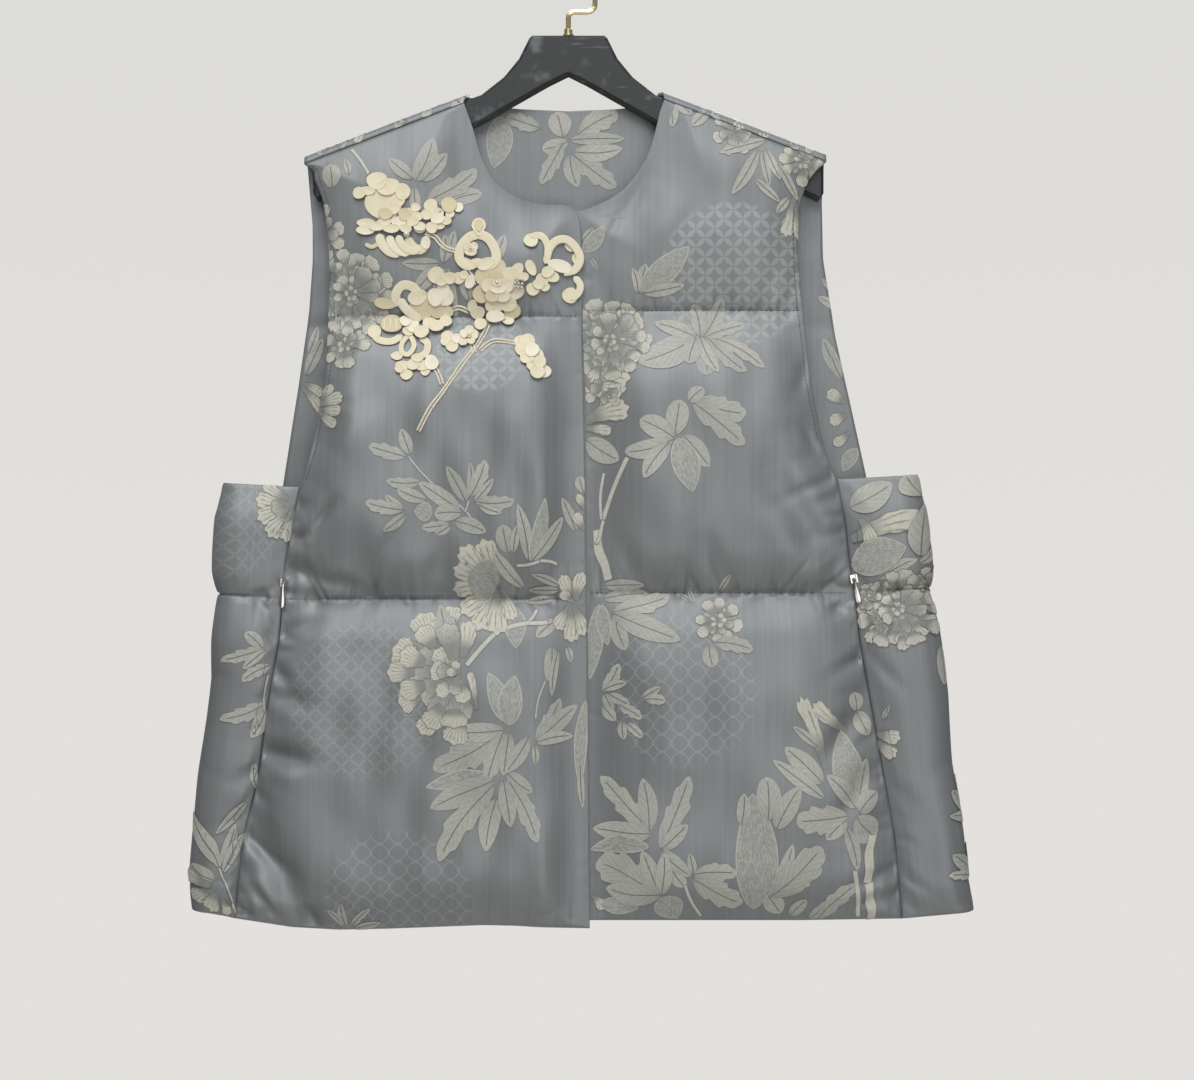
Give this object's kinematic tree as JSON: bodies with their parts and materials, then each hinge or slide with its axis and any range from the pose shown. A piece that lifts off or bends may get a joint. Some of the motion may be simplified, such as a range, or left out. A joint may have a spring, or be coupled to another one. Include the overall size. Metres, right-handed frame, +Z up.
{
  "type": "padded waistcoat on a hanger",
  "caption": "Sleeveless padded silk waistcoat with round neck, lapped front, folded side panels and petal applique, hanging on a flat hanger with a wire hook.",
  "frame": {"origin": "inside top of the hanger's hook, where a rail carries it", "axes": "+Z up, -Y out of the fronts, +X to the right as seen from the front"},
  "size_m": [0.5847, 0.0583, 0.7271],
  "materials": {
    "silk": "satin silk jacquard, grey blue",
    "petal": "stiff cream felt-like cloth, matte",
    "cord": "twisted couching cord, matte",
    "plastic": "worn charcoal",
    "gold": "pale brass plate",
    "silver": "polished nickel"
  },
  "bodies": {
    "garment": {"front_left": "silk", "front_right": "silk", "back": "silk", "side_left": "silk", "side_right": "silk", "blossom_top": "petal", "blossom_small": "petal", "blossom_centre": "petal", "blossom_bud": "petal", "blossom_left": "petal", "blossom_low": "petal", "blossom_low_right": "petal", "blossom_tip": "petal", "blossom_right": "petal", "petal_fan": "petal", "petal_pear": "petal", "petal_scroll": "petal", "petal_curl": "petal", "petal_crescent": "petal", "stem_main": "cord", "stem_branch": "cord", "stem_top": "cord", "stem_low": "cord", "hanger": "plastic", "hook": "gold", "hook_collar": "gold", "zip_slider_left": "silver", "zip_slider_right": "silver"},
    "pull_left": {"zip_pull_left": "silver"},
    "pull_right": {"zip_pull_right": "silver"}
  },
  "joints": [
    {"name": "pull_left_hinge", "type": "hinge", "parent": "garment", "child": "pull_left", "pos_m": [-0.2109, -0.0204, -0.4665], "axis": [-0.9986, 0, 0.0523], "range_deg": [0, 150]},
    {"name": "pull_right_hinge", "type": "hinge", "parent": "garment", "child": "pull_right", "pos_m": [0.2116, -0.0204, -0.4635], "axis": [-0.9781, 0, -0.2079], "range_deg": [0, 150]}
  ]
}
